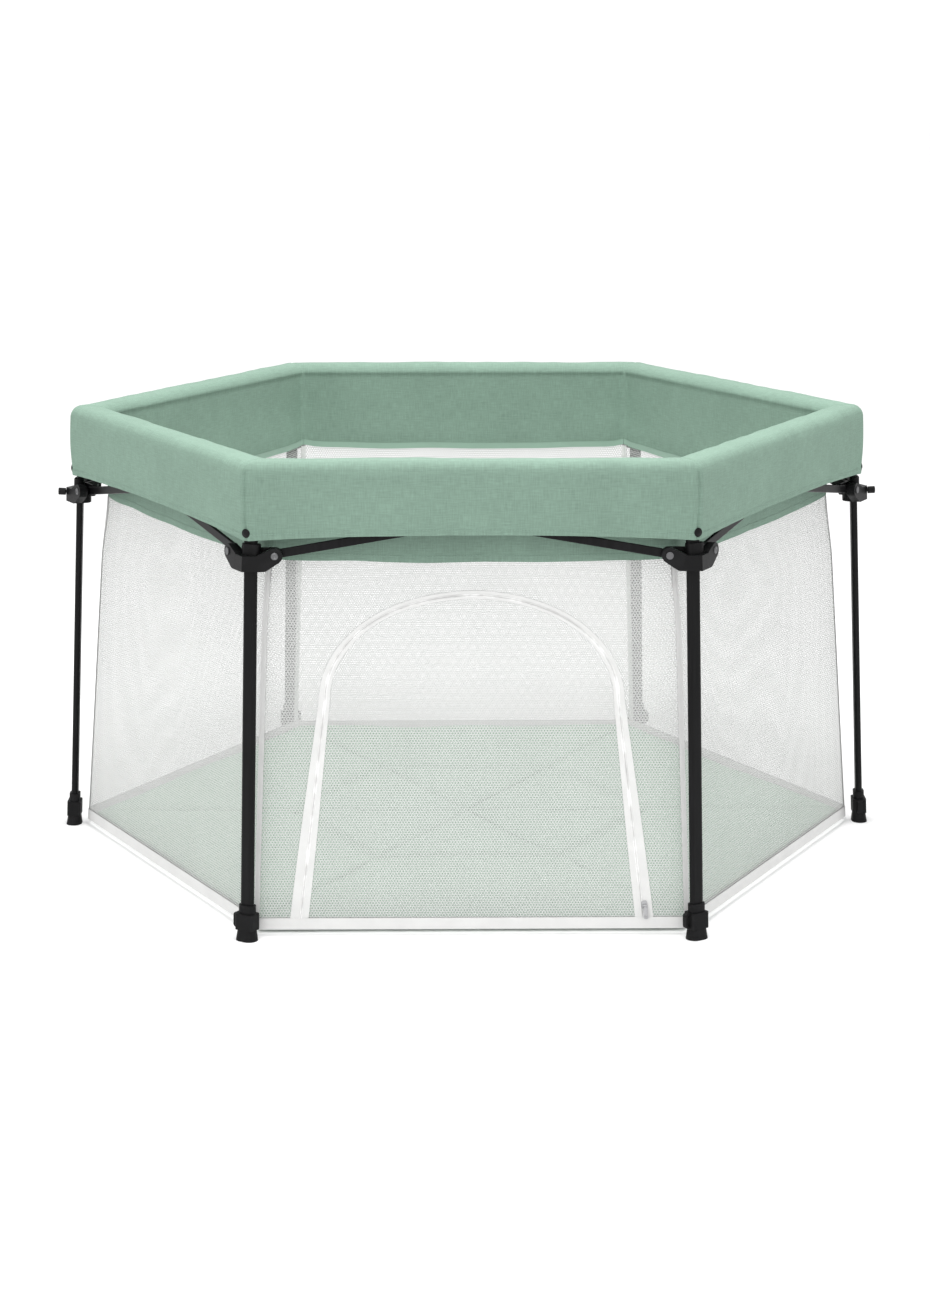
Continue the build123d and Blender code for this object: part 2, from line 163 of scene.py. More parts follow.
def fabric(name, columns, rows, surface, material, thick=0.0):
    """A sheet over columns and rows. A column is (side, position), where position gives x from half the
    side's length there; surface(side, position, row, nudge) gives a point and its UV. A mitre is two
    columns, one on each side, which share their points. A thickness closes the sheet with a second
    layer behind it."""
    nudge = 0.0008
    points, normals, uv = [], [], []
    index = []
    for c, (k, position) in enumerate(columns):
        twin = c > 0 and columns[c - 1][0] != k
        index.append([])
        uv.append([])
        for r, row in enumerate(rows):
            point, flat = surface(k, position, row, 0.0)
            uv[c].append(flat)
            step_x = surface(k, position, row, nudge)[0] - surface(k, position, row, -nudge)[0]
            before, after = rows[max(r - 1, 0)], rows[min(r + 1, len(rows) - 1)]
            near_low, near_high = row + (before - row) * 0.25, row + (after - row) * 0.25
            step_row = surface(k, position, near_high, 0.0)[0] - surface(k, position, near_low, 0.0)[0]
            normal = step_x.cross(step_row).normalized()
            if twin:
                shared = index[c - 1][r]
                normals[shared] = (normals[shared] + normal).normalized()
                index[c].append(shared)
            else:
                index[c].append(len(points))
                points.append(point)
                normals.append(normal)
    count = len(points)
    faces, uvs = [], []
    cells = []
    for c in range(len(columns) - 1):
        if columns[c][0] != columns[c + 1][0]:
            continue
        for r in range(len(rows) - 1):
            cells.append((c, r))
    for c, r in cells:
        ring = [(c, r), (c + 1, r), (c + 1, r + 1), (c, r + 1)]
        faces.append([index[a][b] for a, b in ring])
        uvs += [uv[a][b] for a, b in ring]
    if thick:
        points += [p - n * thick for p, n in zip(points, normals)]
        normals += [-n for n in normals]
        for c, r in cells:
            ring = [(c, r), (c, r + 1), (c + 1, r + 1), (c + 1, r)]
            faces.append([index[a][b] + count for a, b in ring])
            uvs += [uv[a][b] for a, b in ring]
        last = len(rows) - 1
        edge = [(c, 0) for c in range(len(columns))] + [(len(columns) - 1, r) for r in range(1, last + 1)]
        edge += [(c, last) for c in range(len(columns) - 2, -1, -1)]
        edge += [(0, r) for r in range(last - 1, 0, -1)]
        edge.append((0, 0))
        for (a, b), (c, d) in zip(edge, edge[1:]):
            first, second = index[a][b], index[c][d]
            if first != second:
                faces.append([second, first, first + count, second + count])
                uvs += [uv[c][d], uv[a][b], uv[a][b], uv[c][d]]
    return finish_mesh(name, points, faces, uvs, normals, material)


def level(share_low, share_high, steps):
    return [share_low + (share_high - share_low) * i / steps for i in range(steps + 1)]


def fixed(x):
    return lambda half: x


def towards_mitre(sign, share):
    return lambda half: sign * (CUT + share * (half - CUT))


def from_mitre(sign, distance):
    return lambda half: sign * (half - distance)


def middle_columns(k, steps):
    return [(k, fixed(x)) for x in level(-CUT, CUT, steps)]


CORNER_SHARES = [0.0, 0.25, 0.5, 0.68, 0.8, 0.88, 0.93, 0.965, 0.985, 1.0]


def corner_columns(j):
    """From side j - 1's cut, over the mitre at leg j, to side j's cut."""
    before = [((j - 1) % SIDE_COUNT, towards_mitre(1, share)) for share in CORNER_SHARES]
    return before + [(j, towards_mitre(-1, share)) for share in reversed(CORNER_SHARES)]


def tape_columns(j, half_width):
    before = [((j - 1) % SIDE_COUNT, from_mitre(1, d)) for d in level(half_width, 0, 3)]
    return before + [(j, from_mitre(-1, d)) for d in level(0, half_width, 3)]


def ride_side(piece, k):
    """A side's long middle piece, which rides on one leg. The front's is the fixed leg."""
    leg, end = (LEGS[FRONT + 1], 1) if k == FRONT else (LEGS[k], -1)
    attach(piece, f"leg_{leg}")
    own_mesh(piece)
    return piece


def ride_corner(piece, j):
    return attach(piece, f"leg_{LEGS[j]}")


# ---------------------------------------------------------------- materials

class Nodes:
    """A material's node tree, with short calls for the nodes that the finishes share."""

    def __init__(self, name):
        self.material = bpy.data.materials.new(name)
        self.material.use_nodes = True
        self.tree = self.material.node_tree
        self.shader = self.tree.nodes["Principled BSDF"]

    def link(self, source, socket):
        self.tree.links.new(source, socket)

    def put(self, kind, **inputs):
        node = self.tree.nodes.new(kind)
        for key, value in inputs.items():
            self.feed(node.inputs[key.replace("_", " ")], value)
        return node

    def feed(self, socket, value):
        if isinstance(value, bpy.types.NodeSocket):
            self.link(value, socket)
        else:
            socket.default_value = value

    def math(self, operation, *values):
        node = self.tree.nodes.new("ShaderNodeMath")
        node.operation = operation
        for socket, value in zip(node.inputs, values):
            self.feed(socket, value)
        return node.outputs[0]

    def vector(self, operation, *values):
        node = self.tree.nodes.new("ShaderNodeVectorMath")
        node.operation = operation
        for socket, value in zip(node.inputs, values):
            self.feed(socket, value)
        return node.outputs["Value"] if operation == "LENGTH" else node.outputs[0]

    def metres(self):
        node = self.tree.nodes.new("ShaderNodeUVMap")
        node.uv_map = "metres"
        return node.outputs[0]

    def place(self):
        return self.tree.nodes.new("ShaderNodeTexCoord").outputs["Object"]

    def noise(self, where, scale, detail=3.0, roughness=0.55):
        """Noise over coordinates that are scaled first, so scale is (x, y, z) bumps to the metre."""
        scaled = self.vector("MULTIPLY", where, scale)
        return self.put("ShaderNodeTexNoise", Vector=scaled, Scale=1.0, Detail=detail,
                        Roughness=roughness).outputs["Fac"]

    def ramp(self, value, stops):
        """Colours at positions from 0 to 1."""
        node = self.put("ShaderNodeValToRGB", Fac=value)
        elements = node.color_ramp.elements
        while len(elements) < len(stops):
            elements.new(0.5)
        for element, (position, colour) in zip(elements, stops):
            element.position = position
            element.color = (*colour, 1)
        return node.outputs[0]

    def spread(self, value, low, high):
        """A value from 0 to 1 spread to low..high."""
        return self.math("MULTIPLY_ADD", value, high - low, low)

    def bump(self, height, distance, strength=1.0):
        node = self.put("ShaderNodeBump", Height=height, Distance=distance, Strength=strength)
        self.link(node.outputs[0], self.shader.inputs["Normal"])

    def set(self, **values):
        for key, value in values.items():
            self.feed(self.shader.inputs[key.replace("_", " ")], value)


def shade(colour, factor):
    return tuple(min(c * factor, 1.0) for c in colour)


SAGE = (0.158, 0.240, 0.190)
SAGE_MAT = (0.200, 0.280, 0.219)
WHITE = (0.62, 0.62, 0.612)
NET_WHITE = (0.56, 0.56, 0.555)
BLACK = (0.004, 0.004, 0.0043)
THREAD_PITCH, MAT_THREAD_PITCH = 0.0009, 0.0007
NET_PITCH, NET_HOLE = 0.0040, 0.00142  # between holes in a row, and a hole's radius
NET_HOLE_COVER, NET_YARN_COVER = 0.24, 0.82  # opacity


def weave_height(nodes, where, pitch):
    """Plain weave: threads that pass over and under, from 0 to 1."""
    split = nodes.put("ShaderNodeSeparateXYZ", Vector=where)
    turn = math.pi / pitch
    warp = nodes.math("SINE", nodes.math("MULTIPLY", split.outputs[0], turn))
    weft = nodes.math("SINE", nodes.math("MULTIPLY", split.outputs[1], turn))
    return nodes.math("MULTIPLY_ADD", nodes.math("MULTIPLY", warp, weft), 0.5, 0.5)


def linen(name, colour, pitch, contrast):
    """Melange cloth: a plain weave with slubs both ways, and a little wear in its colour."""
    nodes = Nodes(name)
    where = nodes.metres()
    level_slubs = nodes.noise(where, (55.0, 620.0, 1.0))
    upright_slubs = nodes.noise(where, (620.0, 55.0, 1.0))
    cloud = nodes.noise(where, (9.0, 9.0, 1.0), 2.0)
    slubs = nodes.math("ADD", nodes.math("MULTIPLY", level_slubs, 0.5),
                       nodes.math("MULTIPLY", upright_slubs, 0.5))
    weave = weave_height(nodes, where, pitch)
    mixed = nodes.math("ADD", nodes.math("MULTIPLY", slubs, 0.72), nodes.math("MULTIPLY", cloud, 0.16))
    mixed = nodes.math("ADD", mixed, nodes.math("MULTIPLY", weave, 0.12))
    nodes.set(Base_Color=nodes.ramp(mixed, [
        (0.34, shade(colour, 1 - contrast)), (0.50, colour), (0.64, shade(colour, 1 + contrast))]))
    nodes.set(Roughness=nodes.spread(slubs, 0.82, 0.98), Sheen_Weight=0.40, Sheen_Roughness=0.5)
    nodes.set(Sheen_Tint=(*shade(colour, 1.6), 1))
    height = nodes.math("ADD", nodes.math("MULTIPLY", weave, 0.55), nodes.math("MULTIPLY", slubs, 0.6))
    nodes.bump(height, 0.0006, 0.6)
    return nodes.material


def net(name):
    """Knitted net: rounded holes in staggered rows between sheer yarn. The holes are partly opaque too,
    which softens the pattern of one net seen through another."""
    nodes = Nodes(name)
    rows = NET_PITCH * math.sqrt(3)
    where = nodes.metres()
    distances = []
    for shift in (0.0, 0.5):
        cell = nodes.vector("DIVIDE", where, (NET_PITCH, rows, 1.0))
        cell = nodes.vector("ADD", cell, (shift, shift, 0.0))
        cell = nodes.vector("SUBTRACT", nodes.vector("FRACTION", cell), (0.5, 0.5, 0.0))
        distances.append(nodes.vector("LENGTH", nodes.vector("MULTIPLY", cell, (NET_PITCH, rows, 0.0))))
    nearest = nodes.math("MINIMUM", *distances)
    ragged = nodes.noise(where, (900.0, 900.0, 1.0), 1.0)
    edge = nodes.math("ADD", nearest, nodes.spread(ragged, -0.0002, 0.0002))
    yarn = nodes.math("GREATER_THAN", edge, NET_HOLE)
    nodes.set(Alpha=nodes.spread(yarn, NET_HOLE_COVER, NET_YARN_COVER))
    cloud = nodes.noise(where, (7.0, 5.0, 1.0), 2.0)
    nodes.set(Base_Color=nodes.ramp(cloud, [
        (0.3, shade(NET_WHITE, 0.97)), (0.7, shade(NET_WHITE, 1.03))]))
    nodes.set(Roughness=nodes.spread(ragged, 0.75, 0.95), Sheen_Weight=0.15)
    nodes.bump(nodes.math("MULTIPLY", edge, 500.0), 0.0004, 0.7)
    return nodes.material


def tape(name, colour):
    """Woven tape: fine ribs across it and a soft shine."""
    nodes = Nodes(name)
    where = nodes.metres()
    ribs = weave_height(nodes, where, 0.0011)
    cloud = nodes.noise(where, (30.0, 30.0, 1.0), 3.0)
    mixed = nodes.math("ADD", nodes.math("MULTIPLY", ribs, 0.3), nodes.math("MULTIPLY", cloud, 0.7))
    nodes.set(Base_Color=nodes.ramp(mixed, [(0.3, shade(colour, 0.93)), (0.7, shade(colour, 1.04))]))
    nodes.set(Roughness=nodes.spread(cloud, 0.62, 0.85), Sheen_Weight=0.2)
    nodes.bump(mixed, 0.0005, 0.5)
    return nodes.material


def moulded(name, colour, low, high, grain):
    """Moulded plastic: spark-eroded grain, patchy shine, and a painted highlight on sharp edges with
    painted shade in hollows.
    """
    nodes = Nodes(name)
    where = nodes.place()
    fine = nodes.noise(where, (grain, grain, grain), 2.0)
    patches = nodes.noise(where, (28.0, 28.0, 28.0), 4.0)
    # Pointiness paints sharp edges paler as a painted highlight and hollows darker as painted shade
    curvature_highlight_and_shade = nodes.put("ShaderNodeNewGeometry").outputs["Pointiness"]
    patches_and_curvature_light = nodes.math("ADD", nodes.math("MULTIPLY", patches, 0.5), nodes.math("MULTIPLY", curvature_highlight_and_shade, 0.5))
    # Low values give painted shade, high values a painted highlight, over random patches of tone
    nodes.set(Base_Color=nodes.ramp(patches_and_curvature_light, [
        (0.40, shade(colour, 0.8)), (0.52, colour), (0.66, shade(colour, 2.4))]))
    nodes.set(Roughness=nodes.spread(patches, low, high), Specular_IOR_Level=0.14)
    nodes.bump(fine, 0.0002, 0.35)
    return nodes.material


def coated(name, colour, low, high):
    """Powder coat on tube and strip: fine orange peel, with faint long rub marks."""
    nodes = Nodes(name)
    where = nodes.place()
    peel = nodes.noise(where, (700.0, 700.0, 500.0), 2.0)
    rubs = nodes.noise(where, (160.0, 160.0, 9.0), 3.0)
    nodes.set(Base_Color=nodes.ramp(rubs, [(0.3, shade(colour, 0.75)), (0.7, shade(colour, 1.5))]))
    nodes.set(Roughness=nodes.spread(rubs, low, high), Specular_IOR_Level=0.12)
    nodes.bump(peel, 0.00015, 0.3)
    return nodes.material


def metal(name, colour, low, high):
    """Plated steel with fine turning marks and a little dullness."""
    nodes = Nodes(name)
    where = nodes.place()
    marks = nodes.noise(where, (1400.0, 1400.0, 300.0), 3.0)
    dull = nodes.noise(where, (90.0, 90.0, 90.0), 3.0)
    nodes.set(Base_Color=nodes.ramp(dull, [(0.3, shade(colour, 0.7)), (0.7, colour)]))
    nodes.set(Roughness=nodes.spread(dull, low, high), Metallic=1.0)
    nodes.bump(marks, 0.0001, 0.3)
    return nodes.material


sage_linen = linen("sage_linen", SAGE, THREAD_PITCH, 0.22)
mat_cloth = linen("mat_cloth", SAGE_MAT, MAT_THREAD_PITCH, 0.10)
white_net = net("white_net")
white_tape = tape("white_tape", WHITE)
sage_thread = tape("sage_thread", shade(SAGE, 1.18))
sage_binding = tape("sage_binding", shade(SAGE, 1.36))
hub_plastic = moulded("hub_plastic", BLACK, 0.36, 0.52, 2600.0)
foot_rubber = moulded("foot_rubber", shade(BLACK, 1.3), 0.52, 0.70, 1800.0)
leg_coat = coated("leg_coat", shade(BLACK, 0.9), 0.34, 0.50)
bar_coat = coated("bar_coat", shade(BLACK, 1.3), 0.26, 0.42)
rivet_metal = metal("rivet_metal", (0.16, 0.16, 0.165), 0.25, 0.45)
spring_metal = metal("spring_metal", (0.62, 0.62, 0.63), 0.22, 0.40)
zip_metal = metal("zip_metal", (0.42, 0.42, 0.43), 0.28, 0.48)
zip_nylon = moulded("zip_nylon", WHITE, 0.35, 0.5, 900.0)

CAD_FINISH = {
    "leg_tube": leg_coat, "top_hub": hub_plastic, "slider": hub_plastic, "foot": foot_rubber,
    "lock_knob": hub_plastic, "lock_spring": spring_metal, "outer_bar": bar_coat,
    "inner_bar": bar_coat, "bar_rivets": rivet_metal, "zip_slider": zip_metal, "zip_pull": zip_metal,
}
for name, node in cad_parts.items():
    for start, finish in CAD_FINISH.items():
        if name.startswith(start):
            node.data.materials.clear()
            node.data.materials.append(finish)


# ---------------------------------------------------------------- rail cover

def cover_edge_height(x, half, at_corner, at_middle, power):
    share = min(abs(x) / half, 1.0)
    return at_middle + (at_corner - at_middle) * share ** power


def cover_surface(k, position, row, nudge):
    """Row 0 to 1 is the outer face from its hem, 1 to 2 the outer rounding, 2 to 3 the top, 3 to 4 the
    inner rounding, and 4 to 5 the inner face and skirt."""
    half_out = COVER_OUT * MITRE
    inner = COVER_OUT - COVER_DEEP
    quarter = COVER_ROUND * math.pi / 2
    flat = COVER_DEEP - 2 * COVER_ROUND
    face_top = COVER_TOP - COVER_ROUND
    rough_x = position(half_out) + nudge
    if row <= 1:
        hem = cover_edge_height(rough_x, half_out, HEM_CORNER, HEM_MIDDLE, 2.5)
        height = hem + (face_top - hem) * row
        apothem, lean, length = COVER_OUT, 0.0, height - face_top
    elif row <= 2:
        turn = (row - 1) * math.pi / 2
        apothem = COVER_OUT - COVER_ROUND * (1 - math.cos(turn))
        height = face_top + COVER_ROUND * math.sin(turn)
        lean, length = turn, quarter * (row - 1)
    elif row <= 3:
        apothem = COVER_OUT - COVER_ROUND - flat * (row - 2)
        height, lean, length = COVER_TOP, math.pi / 2, quarter + flat * (row - 2)
    elif row <= 4:
        turn = (row - 3) * math.pi / 2
        apothem = inner + COVER_ROUND * (1 - math.sin(turn))
        height = face_top + COVER_ROUND * math.cos(turn)
        lean, length = math.pi / 2 + turn, quarter * (row - 2) + flat
    else:
        scallop = 0.0030 * noise.noise(Vector((rough_x * 9, 7.0 * k, 3.0)))
        scallop *= smooth((half_out - abs(rough_x)) / 0.05)
        skirt = cover_edge_height(rough_x, half_out, SKIRT_CORNER, SKIRT_MIDDLE, 4) + scallop
        height = face_top + (skirt - face_top) * (row - 4)
        apothem, lean, length = inner, math.pi, 2 * quarter + flat + face_top - height
    half = apothem * MITRE
    x = position(half) + nudge
    place = on_side(k, x, apothem, height)
    to_mitre = max(half - abs(x), 0.0)
    puff = cover_puff(row, height, to_mitre, place)
    apothem += math.cos(lean) * puff - corner_inset(to_mitre, COVER_CORNER_INSET)
    height += math.sin(lean) * puff
    if abs(x) > CUT:
        x = position(apothem * MITRE) + nudge
    return on_side(k, x, apothem, height), (k * 2 * half_out + x, length)


def cover_puff(row, height, to_mitre, place):
    """How far the cloth stands off its section: padding, folds, the hem's double layer and the seams."""
    drag = 0.0016 * ripple(place, 11.0, 3.0, 3.0) * smooth(to_mitre / 0.03)
    fine = 0.0007 * ripple(place, 38.0, 17.0, 8.0)
    seam = -0.0019 * math.exp(-((to_mitre / 0.0026) ** 2))
    if row <= 1:
        up = height - HEM_CORNER
        belly = 0.0026 * math.sin(min(max(up / 0.105, 0), 1) * math.pi)
        hem = 0.0009 * smooth((HEM_BAND - up + 0.001) / 0.001 / 2)
        return drag + fine + belly + hem + seam + 0.0006
    if row < 4:
        return 0.7 * drag + fine + 0.0012 + 0.6 * seam
    down = row - 4
    flare = -0.0025 * math.sin(math.pi * min(down, 1)) - 0.0015 * smooth((down - 0.75) * 4)
    ruffle = 0.0020 * smooth((down - 0.35) / 0.6) * ripple(place, 18.0, 2.0, 21.0)
    return 0.8 * drag + fine + flare + ruffle


COVER_ROWS = [0, 0.02, 0.05, 0.08, 0.1, 0.12, 0.15]
COVER_ROWS += [0.22, 0.30, 0.38, 0.46, 0.54, 0.62, 0.70, 0.78, 0.86, 0.93]
COVER_ROWS += level(1, 1.8, 4) + level(2, 2.75, 3) + level(3, 3.8, 4)
SKIRT_ROW = 5.0
COVER_ROWS += [4, 4.06, 4.13, 4.20, 4.28, 4.36, 4.44, 4.52, 4.60]
COVER_ROWS += [4.68, 4.76, 4.83, 4.89, 4.93, 4.97, SKIRT_ROW]

SKIRT_HEM_ROWS = level(4.925, SKIRT_ROW, 4)
SKIRT_HEM_TALL, SKIRT_HEM_PROUD = 0.010, 0.0007


def skirt_hem_surface(k, position, row, nudge):
    place, flat = cover_surface(k, position, row, nudge)
    return place - outward(k) * SKIRT_HEM_PROUD, flat


def build_skirt_hem():
    """The paler tape that binds the skirt's lower edge inside the yard."""
    for k, side in enumerate(SIDES):
        hem = fabric(f"skirt_hem_{side}", middle_columns(k, 64), SKIRT_HEM_ROWS, skirt_hem_surface,
                     sage_binding, SKIRT_HEM_PROUD)
        ride_side(hem, k)
    for j, leg in enumerate(LEGS):
        turn = fabric(f"skirt_hem_corner_{leg}", corner_columns(j), SKIRT_HEM_ROWS, skirt_hem_surface,
                      sage_binding, SKIRT_HEM_PROUD)
        ride_corner(turn, j)


def build_cover():
    for k, side in enumerate(SIDES):
        middle = fabric(f"cover_{side}", middle_columns(k, 64), COVER_ROWS, cover_surface,
                        sage_linen, COVER_THICK)
        ride_side(middle, k)
        if k == 0:
            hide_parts("rail_cover")
    for j, leg in enumerate(LEGS):
        turn = fabric(f"cover_corner_{leg}", corner_columns(j), COVER_ROWS, cover_surface,
                      sage_linen, COVER_THICK)
        ride_corner(turn, j)


build_cover()
build_skirt_hem()


# ---------------------------------------------------------------- mesh walls

def wall_point(k, x, up, proud=0.0):
    """A point of side k's net, up metres along it from its foot, and proud of it by a distance."""
    share = up / WALL_TALL
    apothem = WALL_FOOT_OUT + (WALL_TOP_OUT - WALL_FOOT_OUT) * share
    height = WALL_FOOT + (WALL_TOP - WALL_FOOT) * share
    gather = smooth((share - 0.8) / 0.2)
    if gather > 0:
        skirt_foot = cover_surface(k, fixed(x), SKIRT_ROW, 0.0)[0]
        apothem += (skirt_foot.dot(outward(k)) + COVER_THICK / 2 - WALL_TOP_OUT) * gather
        height += (skirt_foot.z + WALL_TUCK - WALL_TOP) * gather
    half = apothem * MITRE
    to_mitre = max(half - abs(x), 0.0)
    place = on_side(k, x, apothem, height)
    slack = smooth(to_mitre / 0.10) * math.sin(math.pi * min(max(share, 0), 1))
    if k == FRONT:
        slack *= TAPED_SLACK
    billow = slack * (0.0035 * ripple(place, 5.0, 2.0, 31.0) + 0.0016 * ripple(place, 17.0, 3.0, 5.0))
    billow -= corner_inset(to_mitre, WALL_CORNER_INSET) * (1 - gather)
    return apothem + proud + billow, height


def wall_surface(proud, low=0.0, reach=WALL_TALL):
    """The surface of a piece that lies proud of the net, with row 0 at low and row 1 reach above it."""
    def surface(k, position, row, nudge):
        up = low + reach * row
        share = up / WALL_TALL
        half = (WALL_FOOT_OUT + (WALL_TOP_OUT - WALL_FOOT_OUT) * share) * MITRE
        x = position(half) + nudge
        apothem, height = wall_point(k, x, up, proud)
        if abs(x) > CUT:
            x = position(apothem * MITRE) + nudge
        return on_side(k, x, apothem, height), (k * 2 * WALL_FOOT_OUT * MITRE + x, up)
    return surface


def door_edge(t, grow=0.0):
    """The doorway's outline moved out by grow, with t from 0 at the lower left, over the arch, to 1 at
    the lower right."""
    straight = math.hypot(DOOR_HALF - DOOR_SHOULDER, DOOR_SHOULDER_UP)
    share = straight / (2 * straight + DOOR_ARCH)
    lean = (DOOR_HALF - DOOR_SHOULDER) / straight
    level_out = DOOR_SHOULDER_UP / straight
    if t < share or t > 1 - share:
        side = -1 if t < 0.5 else 1
        climb = (t if t < 0.5 else 1 - t) / share
        x = DOOR_HALF + (DOOR_SHOULDER - DOOR_HALF) * climb + grow * level_out
        return side * x, DOOR_LOW + DOOR_SHOULDER_UP * climb + grow * lean * climb
    turn = math.pi * (1 - (t - share) / (1 - 2 * share))
    normal = Vector((math.cos(turn) / DOOR_SHOULDER, math.sin(turn) / DOOR_RISE)).normalized()
    x = DOOR_SHOULDER * math.cos(turn) + normal.x * grow
    return x, DOOR_LOW + DOOR_SHOULDER_UP + DOOR_RISE * math.sin(turn) + normal.y * grow


def tape_edge(low_width, high_width, sign):
    """An outline beside the doorway's, further from it at the foot than at the top of the arch."""
    def edge(t):
        climb = smooth((door_edge(t)[1] - DOOR_LOW) / (DOOR_SHOULDER_UP + DOOR_RISE))
        return door_edge(t, sign * (low_width + (high_width - low_width) * climb))
    return edge


def door_surface(inner, outer, proud):
    """Between two outlines: column position is t round the doorway, row 0 the inner one."""
    def surface(k, position, row, nudge):
        t = position(0) + nudge
        x_in, up_in = inner(t)
        x_out, up_out = outer(t)
        x, up = x_in + (x_out - x_in) * row, up_in + (up_out - up_in) * row
        apothem, height = wall_point(k, x, up, proud)
        return on_side(k, x, apothem, height), (k * 2 * WALL_FOOT_OUT * MITRE + x, up)
    return surface


DOOR_STEPS = 150


def door_columns(steps):
    return [(FRONT, fixed(t)) for t in level(0, 1, steps)]


def frame_edge(t):
    """The front net's own outline opposite the doorway's: up its left cut, along its top and down."""
    turn_left, turn_right = 0.36, 0.64
    if t < turn_left:
        climb = t / turn_left
        return -CUT, DOOR_LOW + (WALL_TALL - DOOR_LOW) * climb
    if t > turn_right:
        climb = (1 - t) / (1 - turn_right)
        return CUT, DOOR_LOW + (WALL_TALL - DOOR_LOW) * climb
    return -CUT + 2 * CUT * (t - turn_left) / (turn_right - turn_left), WALL_TALL


def door_foot(_):
    """The middle of the doorway's foot, where the door net's rows meet."""
    return 0.0, DOOR_LOW


BINDING_ROWS = [0, 0.08, 0.2, 0.4, 0.6, 0.8, 0.92, 1.0]
BINDING_BELOW = 0.002  # how far the binding reaches below the net
binding_surface = wall_surface(BINDING_THICK / 2, -BINDING_BELOW, BINDING_TALL)


def build_walls():
    rows = level(0, 1, 44)
    net_surface = wall_surface(0.0)
    for k, side in enumerate(SIDES):
        if k == FRONT:
            whole = door_surface(lambda t: door_edge(t, 0.001), frame_edge, 0.0)
            piece = fabric("net_front", door_columns(DOOR_STEPS), level(0, 1, 14), whole, white_net)
            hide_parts("door_wall")
        else:
            piece = fabric(f"net_{side}", middle_columns(k, 48), rows, net_surface, white_net)
        ride_side(piece, k)
        if k == 0:
            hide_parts("mesh_walls")
        build_binding(k, side)
    for j, leg in enumerate(LEGS):
        piece = fabric(f"net_corner_{leg}", corner_columns(j), rows, net_surface, white_net)
        ride_corner(piece, j)
        seam_surface = wall_surface(TAPE_PROUD, 0.0, WALL_TALL - WALL_TUCK)
        seam = fabric(f"corner_tape_{leg}", tape_columns(j, TAPE_HALF), level(0, 1, 60), seam_surface,
                      white_tape, TAPE_THICK)
        ride_corner(seam, j)
        bound = fabric(f"binding_corner_{leg}", corner_columns(j), BINDING_ROWS, binding_surface,
                       white_tape, BINDING_THICK)
        ride_corner(bound, j)


def build_binding(k, side):
    bound = fabric(f"binding_{side}", middle_columns(k, 48), BINDING_ROWS, binding_surface,
                   white_tape, BINDING_THICK)
    ride_side(bound, k)


build_walls()


# ---------------------------------------------------------------- door

def zip_coil(name, sign):
    """One half of the zip's nylon coil, a low ribbed cord along the doorway."""
    def surface(k, position, row, nudge):
        t = position(0) + nudge
        turn = math.pi * row
        x, up = door_edge(t, sign * COIL_HALF * (1 + math.cos(turn)) * 0.98)
        rib = 0.95 + 0.05 * math.sin(t * COIL_RIBS * math.tau)
        apothem, height = wall_point(k, x, up, COIL_FOOT + COIL_RISE * math.sin(turn) * rib)
        return on_side(k, x, apothem, height), (k * 2 * WALL_FOOT_OUT * MITRE + x, up)
    rows = level(0, 1, 4) if sign < 0 else level(1, 0, 4)
    return fabric(name, door_columns(COIL_RIBS * 3), rows, surface, zip_nylon)


def build_door():
    """The net door, its tape and the tape of the wall round it, which meet at the zip line."""
    inside = door_surface(door_foot, lambda t: door_edge(t, -0.0008), 0.0)
    door = fabric("door_net", door_columns(DOOR_STEPS), level(0, 1, 30), inside, white_net)
    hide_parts("door_panel")
    columns, rows = door_columns(DOOR_STEPS), level(0, 1, 5)
    inner_tape = door_surface(tape_edge(TAPE_IN_LOW, TAPE_IN_HIGH, -1),
                              tape_edge(COIL_HALF, COIL_HALF, -1), TAPE_PROUD)
    edge = fabric("door_tape", columns, rows, inner_tape, white_tape, TAPE_THICK)
    outer_tape = door_surface(tape_edge(COIL_HALF, COIL_HALF, 1),
                              tape_edge(TAPE_OUT_LOW, TAPE_OUT_HIGH, 1), TAPE_PROUD)
    surround = fabric("doorway_tape", columns, rows, outer_tape, white_tape, TAPE_THICK)
    door_coil = zip_coil("door_zip_coil", -1)
    wall_coil = zip_coil("doorway_zip_coil", 1)
    ride_side(wall_coil, FRONT)
    for piece in (door, edge, door_coil):
        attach(piece, "door")
        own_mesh(piece)
    ride_side(surround, FRONT)


build_door()


# ---------------------------------------------------------------- mat

# A mat sector starts smaller than its panel by the slack, and swells by up to MAT_SWELL
MAT_VOXEL, MAT_SLACK = 0.006, 0.004
MAT_PRESSURE, MAT_SWELL = 4.0, 0.005
MAT_SEAM_HALF = 0.006
FILL_FRAMES = 20
MAT_CROWN = 0.004  # how far the filling may rise above the panel


def mat_blank():
    """One slack sector of the mat before it is filled, with its long edge at side 0's place. It runs
    past its mitres, where it is trimmed after filling."""
    low, high = MAT_LOW + MAT_SLACK / 2, MAT_HIGH - MAT_SLACK
    edge, spare = MAT_OUT - MAT_SLACK, 2 * MAT_VOXEL
    plan = [(-spare, 0.0), (edge, -edge * MITRE - spare), (edge, edge * MITRE + spare)]
    points = [on_side(0, x, apothem, height) for height in (low, high) for apothem, x in plan]
    faces = [(0, 2, 1), (3, 4, 5), (0, 1, 4, 3), (1, 2, 5, 4), (2, 0, 3, 5)]
    mesh = bpy.data.meshes.new("mat_blank")
    mesh.from_pydata([tuple(p) for p in points], [], faces)
    blank = bpy.data.objects.new("mat_blank", mesh)
    collection.objects.link(blank)
    remesh = blank.modifiers.new("remesh", "REMESH")
    remesh.mode = "VOXEL"
    remesh.voxel_size = MAT_VOXEL
    settle(blank)
    return blank


